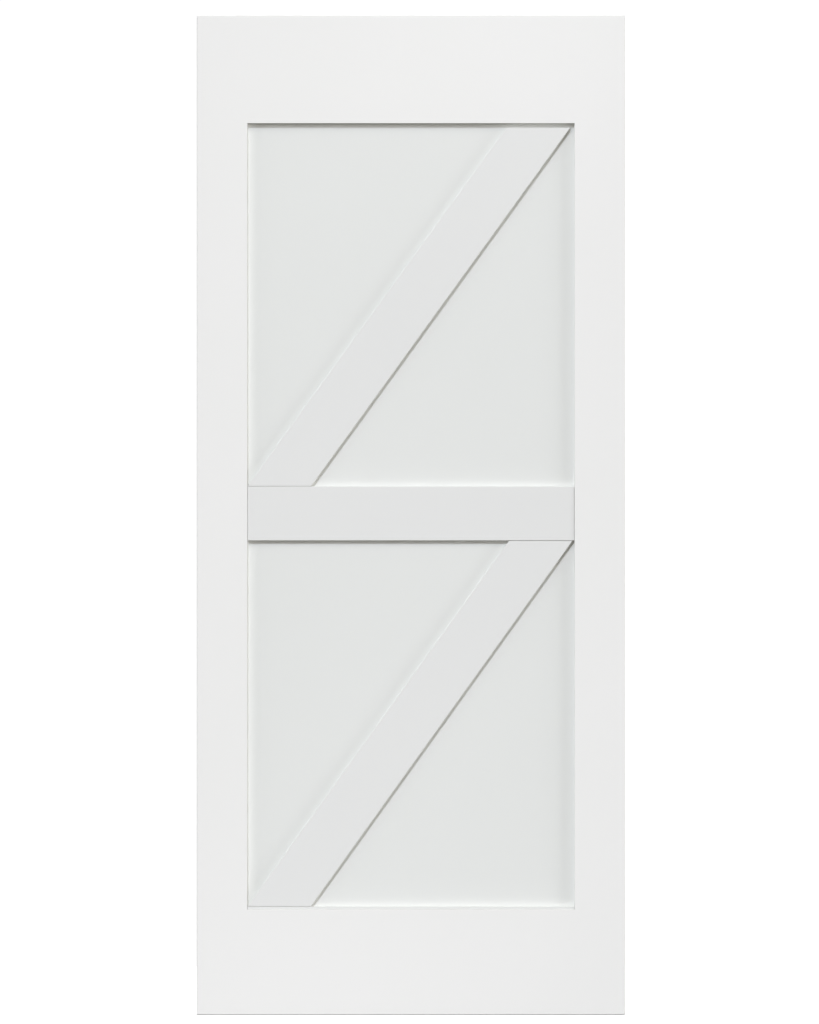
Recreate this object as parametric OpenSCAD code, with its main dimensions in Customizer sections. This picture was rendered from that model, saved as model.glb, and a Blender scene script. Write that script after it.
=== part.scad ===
// Sliding barn door leaf: a stile-and-rail frame around one flat panel, with a mid rail, two
// braces and a bottom strip planted on each face of the panel.
// Origin: middle of the bottom edge. +X right, +Z up, and -Y is the front. Millimetres.

/* [Leaf] */
// Width of the leaf
door_w = 914.4; // [720:0.1:1220]
// Height of the leaf
door_h = 2133.6; // [1750:0.1:2600]
// Thickness of the frame
door_t = 34.9; // [29:0.1:45]
// Radius of the eased outer edges
arris_r = 1.6; // [0.5:0.1:3]

/* [Frame] */
// Face width of each stile
stile_w = 107.95; // [88:0.05:150]
// Face height of the top rail
top_rail_h = 230; // [150:0.1:300]
// Face height of the bottom rail
bottom_rail_h = 224.4; // [150:0.1:300]
// Radius of the eased edges around the opening
inner_arris_r = 0.5; // [0.2:0.1:2]
// Depth of the groove that holds the panel
groove_depth = 12.7; // [8:0.1:20]

/* [Panel] */
// Thickness of the panel
panel_t = 12.7; // [10.5:0.1:15.5]
// Room between a face of the panel and the side of its groove
panel_play = 0.15; // [0.05:0.05:0.3]
// Room between an edge of the panel and the bottom of its groove
panel_float = 1.6; // [0.5:0.1:3]

/* [Planted boards] */
// Thickness of the mid rail, braces and bottom strip
board_t = 9.5; // [6.5:0.1:12]
// Width of the small bevel along their face edges
board_arris = 0.5; // [0.2:0.1:2]
// Height of the middle of the mid rail above the bottom of the leaf
mid_rail_z = 1070.5; // [850:0.1:1300]
// Face height of the mid rail
mid_rail_h = 115.7; // [80:0.1:160]
// Face width of a brace
brace_w = 110.3; // [80:0.1:160]
// Distance from a brace's lower edge to the corner that it points at
brace_clear = 7.5; // [2:0.1:15]
// Face height of the strip that the lower brace stands on
strip_h = 6.8; // [5:0.1:30]
// Open joint line where a board ends
joint_gap = 0.7; // [0.3:0.1:1.5]
// Open space between the head of the upper brace and the top rail
head_gap = 9.7; // [0.7:0.1:20]

/* [Dowels] */
// Diameter of a dowel
dowel_d = 9.5; // [8:0.1:11.5]
// Length of a dowel
dowel_len = 100; // [60:1:140]
// Dowels in each corner of the frame
dowel_count = 3; // [2:1:4]
// Distance from the leaf's edge to the middle of the first dowel
dowel_inset = 20; // [14:1:24]

/* [Panel pins] */
// Diameter of a pin
pin_d = 1.2; // [1:0.1:1.6]
// How far a pin reaches into the panel
pin_bite = 9; // [6:0.1:10]
// Filler over the end of a pin
pin_cover = 1.2; // [0.8:0.1:2]
// Pairs of pins along the front mid rail
mid_rail_pairs = 5; // [3:1:8]
// Pairs of pins along each front brace
brace_pairs = 6; // [3:1:9]
// Single pins along the front bottom strip
strip_pin_count = 5; // [3:1:8]
// Distance from a board's end to its first pins
pin_end = 45; // [30:1:70]

/* [Hidden] */
$fn = 48;
half_w = door_w / 2;
half_t = door_t / 2;
half_panel = panel_t / 2;
half_groove = half_panel + panel_play;
past = 1; // how far a cutter runs past what it cuts

// The opening inside the frame
opening_w = door_w - 2 * stile_w;
opening_low = bottom_rail_h;
opening_high = door_h - top_rail_h;
opening_h = opening_high - opening_low;

// Stub tenons on the stiles, in the rails' grooves
tenon_w = stile_w - groove_depth;
tenon_play = 0.1;
tenon_t = 2 * (half_groove - tenon_play);
tenon_end_gap = 0.3;
tenon_len = groove_depth - tenon_end_gap;

// Dowels stand across the joints between stiles and rails
dowel_play = 0.05;
dowel_end_gap = 1.5;
dowel_chamfer = 1;
dowel_pitch = (tenon_w - 2 * dowel_inset) / (dowel_count - 1);

// Boards
board_len = opening_w - 2 * joint_gap;
board_face_y = -half_panel - board_t;
mid_low = mid_rail_z - mid_rail_h / 2;
mid_high = mid_rail_z + mid_rail_h / 2;
strip_top = opening_low + strip_h;
head_high = opening_high - head_gap;

// A brace's bay as [height of its lower-left corner, height of its upper-right corner].
// The brace's upper edge starts in the first, and its lower edge passes the second at
// brace_clear. The lower brace aims a little below the mid rail.
upper_bay = [mid_high, head_high];
lower_bay = [strip_top, mid_low - brace_clear];

// The heights at which a brace is cut off level, as [foot, head]
upper_ends = [mid_high + joint_gap, head_high];
lower_ends = [strip_top + joint_gap, mid_low - joint_gap];

// Pins stand in rows along a board, at these shares of its face
pin_rows = [0.25, 0.75];
strip_pin_rows = [0.5];
pin_play = 0.05;
pin_point = 2;
pin_len = board_t - pin_cover + pin_bite;

frame_white = "#f3f3f1";
board_white = "#e9ebe9";
panel_white = "#e6e7e5";
beech = "#d8b98a";
steel = "#9a9c9e";

// Frame

// Section of a stile or rail: its eased outer edge on x = 0, its grooved inner edge on x = face
module frame_section(face) {
    difference() {
        union() {
            translate([arris_r, -half_t]) square([face - arris_r, door_t]);
            translate([0, arris_r - half_t]) square([face, door_t - 2 * arris_r]);
            for (side = [-1, 1])
                translate([arris_r, side * (half_t - arris_r)]) circle(arris_r);
        }
        translate([face - groove_depth, -half_groove])
            square([groove_depth + past, 2 * half_groove]);
    }
}

// What the easing takes off both corners of an inner edge on x = face
module inner_easing(face) {
    for (side = [0, 1])
        mirror([0, side])
            translate([face - inner_arris_r, half_t - inner_arris_r])
                difference() {
                    square(inner_arris_r + past);
                    circle(inner_arris_r);
                }
}

// Plan of the leaf, with its four corners eased
module leaf_plan() {
    square([door_w - 2 * arris_r, door_t], center = true);
    square([door_w, door_t - 2 * arris_r], center = true);
    for (sx = [-1, 1], sy = [-1, 1])
        translate([sx * (half_w - arris_r), sy * (half_t - arris_r)]) circle(arris_r);
}

// Lays a bar's section along X, its outer edge on z = 0
module lengthwise(length) {
    rotate([0, -90, 0]) linear_extrude(length, center = true) children();
}

module dowel(r, half_len) {
    rotate_extrude()
        polygon([
            [0, -half_len],
            [r - dowel_chamfer, -half_len],
            [r, dowel_chamfer - half_len],
            [r, half_len - dowel_chamfer],
            [r - dowel_chamfer, half_len],
            [0, half_len]
        ]);
}

// The dowels of a left corner whose joint is at height z
module corner_dowels(z, play = 0, end_gap = 0) {
    for (i = [0 : dowel_count - 1])
        translate([dowel_inset + i * dowel_pitch - half_w, 0, z])
            dowel(dowel_d / 2 + play, dowel_len / 2 + end_gap);
}

// A rail on z = 0, its groove upwards: full width, eased only between the stiles, and drilled
// for the dowels of both corners
module rail_bar(face) {
    difference() {
        intersection() {
            lengthwise(door_w) frame_section(face);
            linear_extrude(face) leaf_plan();
        }
        lengthwise(opening_w) inner_easing(face);
        for (side = [0, 1])
            mirror([side, 0, 0]) corner_dowels(face, dowel_play, dowel_end_gap);
    }
}

// The left stile: shoulders on the rails' edges, stub tenons in their grooves
module stile_bar() {
    difference() {
        union() {
            translate([-half_w, 0, opening_low])
                linear_extrude(opening_h)
                    difference() {
                        frame_section(stile_w);
                        inner_easing(stile_w);
                    }
            translate([-half_w, -tenon_t / 2, opening_low - tenon_len])
                cube([tenon_w, tenon_t, opening_h + 2 * tenon_len]);
        }
        for (z = [opening_low, opening_high])
            corner_dowels(z, dowel_play, dowel_end_gap);
    }
}

module left_stile() {
    color(frame_white) stile_bar();
}

module right_stile() {
    color(frame_white) mirror([1, 0, 0]) stile_bar();
}

module bottom_rail() {
    color(frame_white) rail_bar(bottom_rail_h);
}

module top_rail() {
    color(frame_white) translate([0, 0, door_h]) mirror([0, 0, 1]) rail_bar(top_rail_h);
}

module left_dowels(z) {
    color(beech) corner_dowels(z);
}

module right_dowels(z) {
    color(beech) mirror([1, 0, 0]) corner_dowels(z);
}

// Panel

module panel() {
    tongue = groove_depth - panel_float;
    sheet_w = opening_w + 2 * tongue;
    sheet_h = opening_h + 2 * tongue;
    color(panel_white) difference() {
        translate([-sheet_w / 2, -half_panel, opening_low - tongue]) cube([sheet_w, panel_t, sheet_h]);
        for (back = [0, 1])
            mirror([0, back, 0]) {
                mid_rail_pins(back, pin_play);
                brace_pins(upper_bay, back, pin_play);
                brace_pins(lower_bay, back, pin_play);
                strip_pins(back, pin_play);
            }
    }
}

// Planted boards, drawn on the front; the back's are mirrored, with their pins moved along

// A board along +X, its face from z = 0 to z = face
module board(length, face) {
    edge_y = board_face_y + board_arris;
    rotate([90, 0, 90])
        linear_extrude(length)
            polygon([
                [-half_panel, 0],
                [edge_y, 0],
                [board_face_y, board_arris],
                [board_face_y, face - board_arris],
                [edge_y, face],
                [-half_panel, face]
            ]);
}

module mid_rail_board(back) {
    color(board_white)
        mirror([0, back, 0])
            difference() {
                translate([-board_len / 2, 0, mid_low]) board(board_len, mid_rail_h);
                mid_rail_pins(back, pin_play);
            }
}

module bottom_strip(back) {
    color(board_white)
        mirror([0, back, 0])
            difference() {
                translate([-board_len / 2, 0, opening_low]) board(board_len, strip_h);
                strip_pins(back, pin_play);
            }
}

function rise(bay) = bay[1] - bay[0];
function reach(bay) = norm([opening_w, rise(bay)]);
function brace_angle(bay) =
    atan2(rise(bay), opening_w) + asin((brace_w + brace_clear) / reach(bay));

// Places what is drawn along a brace: x runs up it, and z = brace_w is its upper edge
module on_brace(bay) {
    a = brace_angle(bay);
    translate([brace_w * sin(a) - opening_w / 2, 0, bay[0] - brace_w * cos(a)])
        rotate([0, -a, 0]) children();
}

// A brace in its bay, cut off level at its ends and upright beside the stiles
module brace(bay, ends, back) {
    run_out = 2 * brace_w;
    color(board_white)
        mirror([0, back, 0])
            difference() {
                intersection() {
                    on_brace(bay)
                        translate([-run_out, 0, 0]) board(reach(bay) + 2 * run_out, brace_w);
                    translate([-board_len / 2, board_face_y - past, ends[0]])
                        cube([board_len, board_t + half_panel, ends[1] - ends[0]]);
                }
                brace_pins(bay, back, pin_play);
            }
}

// Panel pins

// Places along a board; those of the back stand halfway between those of the front
function pin_places(first, last, count, back) =
    let (pitch = (last - first) / (count - 1))
    [for (i = [0 : count - 1 - back]) first + (i + back / 2) * pitch];

// One pin, from under a board's face into the panel
module pin(play) {
    r = pin_d / 2 + play;
    translate([0, board_face_y + pin_cover, 0]) rotate([-90, 0, 0]) rotate_extrude()
        polygon([
            [0, -play],
            [r, -play],
            [r, pin_len - pin_point],
            [0, pin_len + play]
        ]);
}

module pinned(places, rows, face, play) {
    for (x = places, row = rows)
        translate([x, 0, row * face]) pin(play);
}

module mid_rail_pins(back, play = 0) {
    last = opening_w / 2 - pin_end;
    translate([0, 0, mid_low])
        pinned(pin_places(-last, last, mid_rail_pairs, back), pin_rows, mid_rail_h, play);
}

module strip_pins(back, play = 0) {
    last = opening_w / 2 - pin_end;
    translate([0, 0, opening_low])
        pinned(pin_places(-last, last, strip_pin_count, back), strip_pin_rows, strip_h, play);
}

module brace_pins(bay, back, play = 0) {
    a = brace_angle(bay);
    slope = brace_w / tan(a);
    first = (1 - pin_rows[0]) * slope + pin_end;
    last = rise(bay) / sin(a) + (1 - pin_rows[1]) * slope - pin_end;
    on_brace(bay) pinned(pin_places(first, last, brace_pairs, back), pin_rows, brace_w, play);
}

module mid_rail_pin_group(back) {
    color(steel) mirror([0, back, 0]) mid_rail_pins(back);
}

module strip_pin_group(back) {
    color(steel) mirror([0, back, 0]) strip_pins(back);
}

module brace_pin_group(bay, back) {
    color(steel) mirror([0, back, 0]) brace_pins(bay, back);
}

left_stile();
right_stile();
top_rail();
bottom_rail();
panel();
mid_rail_board(0);  // front_mid_rail
brace(upper_bay, upper_ends, 0);  // front_upper_brace
brace(lower_bay, lower_ends, 0);  // front_lower_brace
bottom_strip(0);  // front_bottom_strip
mid_rail_board(1);  // back_mid_rail
brace(upper_bay, upper_ends, 1);  // back_upper_brace
brace(lower_bay, lower_ends, 1);  // back_lower_brace
bottom_strip(1);  // back_bottom_strip
left_dowels(opening_high);  // upper_left_dowels
right_dowels(opening_high);  // upper_right_dowels
left_dowels(opening_low);  // lower_left_dowels
right_dowels(opening_low);  // lower_right_dowels
mid_rail_pin_group(0);  // front_mid_rail_pins
brace_pin_group(upper_bay, 0);  // front_upper_brace_pins
brace_pin_group(lower_bay, 0);  // front_lower_brace_pins
strip_pin_group(0);  // front_bottom_strip_pins
mid_rail_pin_group(1);  // back_mid_rail_pins
brace_pin_group(upper_bay, 1);  // back_upper_brace_pins
brace_pin_group(lower_bay, 1);  // back_lower_brace_pins
strip_pin_group(1);  // back_bottom_strip_pins
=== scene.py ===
# Sliding barn door leaf, primed white: surfaces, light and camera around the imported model
import math
import bpy
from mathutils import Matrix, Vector


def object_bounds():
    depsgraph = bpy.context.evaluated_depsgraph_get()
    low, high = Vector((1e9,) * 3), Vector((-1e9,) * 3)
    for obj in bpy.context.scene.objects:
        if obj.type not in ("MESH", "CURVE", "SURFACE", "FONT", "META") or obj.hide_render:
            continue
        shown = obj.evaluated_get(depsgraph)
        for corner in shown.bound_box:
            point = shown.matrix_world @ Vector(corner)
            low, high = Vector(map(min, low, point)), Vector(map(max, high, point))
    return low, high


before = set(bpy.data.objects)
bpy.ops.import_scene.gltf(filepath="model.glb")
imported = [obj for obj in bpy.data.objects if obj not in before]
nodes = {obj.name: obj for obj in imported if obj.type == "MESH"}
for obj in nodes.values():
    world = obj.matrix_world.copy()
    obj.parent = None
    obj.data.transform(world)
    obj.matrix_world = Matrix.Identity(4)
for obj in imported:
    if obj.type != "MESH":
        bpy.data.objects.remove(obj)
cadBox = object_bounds()

mm = 0.001


def toLinear(hexColour):
    # sRGB hex to the linear colour that the sockets want
    channels = []
    for start in (0, 2, 4):
        share = int(hexColour.lstrip("#")[start:start + 2], 16) / 255
        channels.append(share / 12.92 if share <= 0.04045 else ((share + 0.055) / 1.055) ** 2.4)
    return (channels[0], channels[1], channels[2], 1)


def addNode(tree, kind, settings=None, links=None):
    # settings are properties, or {"in": {socket: value}}
    # links are {socket: another node's output}
    # a Mix node's sockets go by number: 0 the factor, 2 and 3 numbers, 6 and 7 colours
    node = tree.nodes.new(kind)
    for key, value in (settings or {}).items():
        if key == "in":
            for socket, number in value.items():
                node.inputs[socket].default_value = number
        else:
            setattr(node, key, value)
    for socket, output in (links or {}).items():
        tree.links.new(output, node.inputs[socket])
    return node


def newMaterial(name):
    material = bpy.data.materials.new(name)
    material.use_nodes = True
    material.node_tree.nodes.clear()
    return material, material.node_tree


def waves(featureMm):
    # a noise texture's scale for features of this size, on coordinates in metres
    return 1 / (featureMm * mm)


# Acrylic primer sprayed on machined fibreboard: an even, soft white with a faint orange peel.
# Cut edges drink more primer, so they dry duller and a little creamier than the flat faces.
primer = {
    "peelMm": 2.4,          # distance from one bump of the orange peel to the next
    "peelHeightMm": 0.012,
    "nibMm": 0.7,           # fine dust nibs, which show only from close by
    "nibHeightMm": 0.004,
    "cloudMm": 420,         # slow drift in the coat's thickness
    "cloudSpread": (0.35, 0.65),    # the part of the noise that the drift runs over
    "cloudAmount": 0.35,
    "sheenMm": 21.6,        # patches where the spray fell wetter or drier
    "sheenSpread": (0.3, 0.7),      # the part of the noise that the roughness runs over
    "faceRoughness": (0.46, 0.56),
    "edgeRoughness": 0.68,
    "edgeTurn": (0.97, 0.8),        # the normal's Y where a face ends, and where it is all edge
    "ior": 1.48,
    # each coat's colour on a flat face, where it is thin, and on a cut edge
    "coats": {
        "frame": ("#f0f0f0", "#edeeed", "#e4e4e1"),
        # the boards and the panel are a shade darker than the frame; part of that is painted
        # shade of the recess they sit in
        "boards": ("#e6e7e7", "#e3e4e4", "#ddddda"),
        "panel": ("#e6e8e7", "#e3e5e4", "#ddddda"),
    },
}


def primedFibreboard(name, faceHex, thinHex, edgeHex):
    material, tree = newMaterial(name)
    coords = addNode(tree, "ShaderNodeTexCoord")
    place = coords.outputs["Object"]
    cloud = addNode(tree, "ShaderNodeTexNoise",
                    {"in": {"Scale": waves(primer["cloudMm"]), "Detail": 2, "Roughness": 0.4}},
                    {"Vector": place})
    coat = addNode(tree, "ShaderNodeMapRange",
                   {"in": {"From Min": primer["cloudSpread"][0],
                           "From Max": primer["cloudSpread"][1],
                           "To Min": 0, "To Max": primer["cloudAmount"]}},
                   {"Value": cloud.outputs["Fac"]})
    face = addNode(tree, "ShaderNodeMix",
                   {"data_type": "RGBA", "in": {6: toLinear(faceHex), 7: toLinear(thinHex)}},
                   {0: coat.outputs["Result"]})

    # the flat faces look along Y; edges and ends don't
    facing = addNode(tree, "ShaderNodeSeparateXYZ", None, {"Vector": coords.outputs["Normal"]})
    turned = addNode(tree, "ShaderNodeMath", {"operation": "ABSOLUTE"}, {0: facing.outputs["Y"]})
    cutEdge = addNode(tree, "ShaderNodeMapRange",
                      {"in": {"From Min": primer["edgeTurn"][0],
                              "From Max": primer["edgeTurn"][1],
                              "To Min": 0, "To Max": 1}},
                      {"Value": turned.outputs["Value"]})
    colour = addNode(tree, "ShaderNodeMix",
                     {"data_type": "RGBA", "in": {7: toLinear(edgeHex)}},
                     {0: cutEdge.outputs["Result"], 6: face.outputs[2]})

    sheen = addNode(tree, "ShaderNodeTexNoise",
                    {"in": {"Scale": waves(primer["sheenMm"]), "Detail": 3}},
                    {"Vector": place})
    faceRough = addNode(tree, "ShaderNodeMapRange",
                        {"in": {"From Min": primer["sheenSpread"][0],
                                "From Max": primer["sheenSpread"][1],
                                "To Min": primer["faceRoughness"][0],
                                "To Max": primer["faceRoughness"][1]}},
                        {"Value": sheen.outputs["Fac"]})
    rough = addNode(tree, "ShaderNodeMix", {"in": {3: primer["edgeRoughness"]}},
                    {0: cutEdge.outputs["Result"], 2: faceRough.outputs["Result"]})

    peel = addNode(tree, "ShaderNodeTexNoise",
                   {"in": {"Scale": waves(primer["peelMm"]), "Detail": 1, "Roughness": 0.35}},
                   {"Vector": place})
    peelBump = addNode(tree, "ShaderNodeBump",
                       {"in": {"Strength": 1, "Distance": primer["peelHeightMm"] * mm}},
                       {"Height": peel.outputs["Fac"]})
    nib = addNode(tree, "ShaderNodeTexNoise",
                  {"in": {"Scale": waves(primer["nibMm"]), "Detail": 2}},
                  {"Vector": place})
    nibBump = addNode(tree, "ShaderNodeBump",
                      {"in": {"Strength": 1, "Distance": primer["nibHeightMm"] * mm}},
                      {"Height": nib.outputs["Fac"], "Normal": peelBump.outputs["Normal"]})
    skin = addNode(tree, "ShaderNodeBsdfPrincipled", {"in": {"IOR": primer["ior"]}},
                   {"Base Color": colour.outputs[2], "Roughness": rough.outputs[0],
                    "Normal": nibBump.outputs["Normal"]})
    addNode(tree, "ShaderNodeOutputMaterial", None, {"Surface": skin.outputs["BSDF"]})
    return material


# Turned beech rod: pale tan with short dark flecks along the grain
beech = {"grainMm": 1.1, "stretch": 0.08, "grainDepthMm": 0.03, "pale": "#d9b98c",
         "fleck": "#a87c4f", "ior": 1.5, "roughness": 0.62}


def turnedBeech():
    material, tree = newMaterial("turned beech")
    coords = addNode(tree, "ShaderNodeTexCoord")
    along = addNode(tree, "ShaderNodeMapping", {"in": {"Scale": (1, 1, beech["stretch"])}},
                    {"Vector": coords.outputs["Object"]})
    grain = addNode(tree, "ShaderNodeTexNoise",
                    {"in": {"Scale": waves(beech["grainMm"]), "Detail": 4}},
                    {"Vector": along.outputs["Vector"]})
    colour = addNode(tree, "ShaderNodeMix",
                     {"data_type": "RGBA",
                      "in": {6: toLinear(beech["pale"]), 7: toLinear(beech["fleck"])}},
                     {0: grain.outputs["Fac"]})
    bump = addNode(tree, "ShaderNodeBump",
                   {"in": {"Strength": 1, "Distance": beech["grainDepthMm"] * mm}},
                   {"Height": grain.outputs["Fac"]})
    skin = addNode(tree, "ShaderNodeBsdfPrincipled",
                   {"in": {"IOR": beech["ior"], "Roughness": beech["roughness"]}},
                   {"Base Color": colour.outputs[2], "Normal": bump.outputs["Normal"]})
    addNode(tree, "ShaderNodeOutputMaterial", None, {"Surface": skin.outputs["BSDF"]})
    return material


# Bright drawn steel wire: a grey metal with fine scratches along its length
wire = {"scratchMm": 0.25, "stretch": 0.05, "colour": "#b4b5b6", "roughness": (0.22, 0.42)}


def drawnSteelWire():
    material, tree = newMaterial("drawn steel wire")
    coords = addNode(tree, "ShaderNodeTexCoord")
    along = addNode(tree, "ShaderNodeMapping", {"in": {"Scale": (1, wire["stretch"], 1)}},
                    {"Vector": coords.outputs["Object"]})
    scratch = addNode(tree, "ShaderNodeTexNoise",
                      {"in": {"Scale": waves(wire["scratchMm"]), "Detail": 2}},
                      {"Vector": along.outputs["Vector"]})
    rough = addNode(tree, "ShaderNodeMapRange",
                    {"in": {"To Min": wire["roughness"][0], "To Max": wire["roughness"][1]}},
                    {"Value": scratch.outputs["Fac"]})
    skin = addNode(tree, "ShaderNodeBsdfPrincipled",
                   {"in": {"Base Color": toLinear(wire["colour"]), "Metallic": 1}},
                   {"Roughness": rough.outputs["Result"]})
    addNode(tree, "ShaderNodeOutputMaterial", None, {"Surface": skin.outputs["BSDF"]})
    return material


print("materials")
framePrimer = primedFibreboard("sprayed primer on the frame", *primer["coats"]["frame"])
boardPrimer = primedFibreboard("sprayed primer on the boards", *primer["coats"]["boards"])
panelPrimer = primedFibreboard("sprayed primer on the panel", *primer["coats"]["panel"])
rodBeech = turnedBeech()
pinSteel = drawnSteelWire()


def materialFor(name):
    if name.endswith("_stile") or name in ("top_rail", "bottom_rail"):
        return framePrimer
    if name == "panel":
        return panelPrimer
    if name.endswith("_dowels"):
        return rodBeech
    if name.endswith("_pins"):
        return pinSteel
    return boardPrimer


for name, cadNode in nodes.items():
    cadNode.data.materials.clear()
    cadNode.data.materials.append(materialFor(name))

low, high = cadBox
middle = (Vector(low) + Vector(high)) / 2

# the paper is lit past white, which its glow stands for
floorLook = {"width": 3.4, "ahead": 2.2, "behind": 1.6, "belowMm": 0.5, "colour": "#f4f4f3",
             "roughness": 0.7, "glow": 0.35}


def makeFloor():
    bpy.ops.object.select_all(action="DESELECT")
    bpy.ops.mesh.primitive_plane_add(size=1, location=(0, 0, 0))
    floor = bpy.context.object
    floor.name = "studio_floor"
    depth = floorLook["ahead"] + floorLook["behind"]
    floor.scale = (floorLook["width"], depth, 1)
    floor.location = (0, (floorLook["behind"] - floorLook["ahead"]) / 2,
                      low[2] - floorLook["belowMm"] * mm)
    bpy.ops.object.transform_apply(location=True, rotation=True, scale=True)
    material, tree = newMaterial("matt studio paper")
    skin = addNode(tree, "ShaderNodeBsdfPrincipled",
                   {"in": {"Base Color": toLinear(floorLook["colour"]),
                           "Roughness": floorLook["roughness"],
                           "Emission Color": (1, 1, 1, 1),
                           "Emission Strength": floorLook["glow"]}})
    addNode(tree, "ShaderNodeOutputMaterial", None, {"Surface": skin.outputs["BSDF"]})
    floor.data.materials.append(material)
    # the floor takes the leaf's shadow, but throws no light up under its edges
    floor.visible_diffuse = False
    floor.visible_glossy = False
    floor.visible_shadow = False


# the key is a little cool, and the light that fills its shadows is a little warm
cool, warm, plain = "#ebf3ff", "#fff8ec", "#ffffff"
studio = {
    "ambient": 0.01,        # what the white room adds from all round
    "backdrop": 1.05,       # what the camera sees behind the leaf
    "sunsAway": 5,          # where the sun lamps stand, in metres; it changes nothing
    # far lights: degrees up, degrees to the right of the front, width in degrees, strength,
    # colour
    "suns": {
        "key": (40, -10, 4, 1.52, cool),
        "high_front": (55, 0, 24, 0.8, warm),
        "left_edge": (5, -75, 24, 0.7, plain),
        "right_edge": (5, 75, 24, 1.45, plain),
        "right_front": (5, 40, 24, 0.33, warm),
        "left": (30, -30, 24, 0.2, plain),
        "right": (30, 60, 24, 0.1, warm),
        "ceiling": (75, 0, 24, 0.13, plain),
        "back_key": (40, 155, 30, 2.2, plain),
    },
    # near lights: place and size in metres, watts, colour. The two strips lie close to the
    # leaf's ends, the lower one under the paper floor, which throws no shadow.
    "fills": {
        "floor_front": ((-0.2, -3, 0), (1.6, 0.8), 11.2, warm),
        "top_front": ((0, -2.4, 2.7), (1.6, 0.8), 7.8, warm),
        "floor_strip": ((-0.1, -0.4, -0.15), (1, 0.08), 0.2, plain),
        "top_strip": ((0.1, -0.4, 2.28), (1, 0.08), 0.2, plain),
        "back_fill": ((2.4, 2.2, 1.2), (1.4, 2), 22, plain),
    },
}


def makeWorld():
    world = bpy.data.worlds.new("studio")
    bpy.context.scene.world = world
    world.use_nodes = True
    tree = world.node_tree
    tree.nodes.clear()
    room = addNode(tree, "ShaderNodeBackground",
                   {"in": {"Color": (1, 1, 1, 1), "Strength": studio["ambient"]}})
    white = addNode(tree, "ShaderNodeBackground",
                    {"in": {"Color": (1, 1, 1, 1), "Strength": studio["backdrop"]}})
    ray = addNode(tree, "ShaderNodeLightPath")
    both = addNode(tree, "ShaderNodeMixShader", None,
                   {0: ray.outputs["Is Camera Ray"], 1: room.outputs[0], 2: white.outputs[0]})
    addNode(tree, "ShaderNodeOutputWorld", None, {"Surface": both.outputs[0]})


def aim(thing, target):
    thing.rotation_euler = (Vector(target) - thing.location).to_track_quat("-Z", "Y").to_euler()


def makeSun(name, up, right, soft, strength, colour):
    up, right = math.radians(up), math.radians(right)
    level = math.cos(up)
    towards = Vector((level * math.sin(right), -level * math.cos(right), math.sin(up)))
    bpy.ops.object.light_add(type="SUN", location=middle + towards * studio["sunsAway"])
    sun = bpy.context.object
    sun.name = name
    sun.data.energy = strength
    sun.data.angle = math.radians(soft)
    sun.data.color = toLinear(colour)[:3]
    aim(sun, middle)


def makeFill(name, where, size, watts, colour):
    bpy.ops.object.light_add(type="AREA", location=where)
    fill = bpy.context.object
    fill.name = name
    fill.data.shape = "RECTANGLE"
    fill.data.size = size[0]
    fill.data.size_y = size[1]
    fill.data.energy = watts
    fill.data.color = toLinear(colour)[:3]
    aim(fill, middle)


# what the picture takes in from top to bottom, and how far its middle is from the leaf's
lens = {"focal": 250, "sensor": 36, "seenMm": 2186.3, "leftMm": 3, "upMm": 6.73, "clip": 100}


def makeCamera():
    # far away on a long lens, square to the leaf, as for a catalogue picture
    distance = lens["seenMm"] * mm * lens["focal"] / lens["sensor"]
    data = bpy.data.cameras.new("camera")
    data.lens = lens["focal"]
    data.sensor_width = lens["sensor"]
    data.clip_end = lens["clip"]
    camera = bpy.data.objects.new("camera", data)
    bpy.context.scene.collection.objects.link(camera)
    camera.location = (middle.x - lens["leftMm"] * mm, low[1] - distance,
                       middle.z + lens["upMm"] * mm)
    camera.rotation_euler = (math.radians(90), 0, 0)
    bpy.context.scene.camera = camera


print("floor, light and camera")
makeFloor()
makeWorld()
for name, look in studio["suns"].items():
    makeSun(name, *look)
for name, look in studio["fills"].items():
    makeFill(name, *look)
makeCamera()

scene = bpy.context.scene
scene.view_settings.view_transform = "Standard"
scene.view_settings.look = "None"
scene.view_settings.exposure = 0
scene.view_settings.gamma = 1
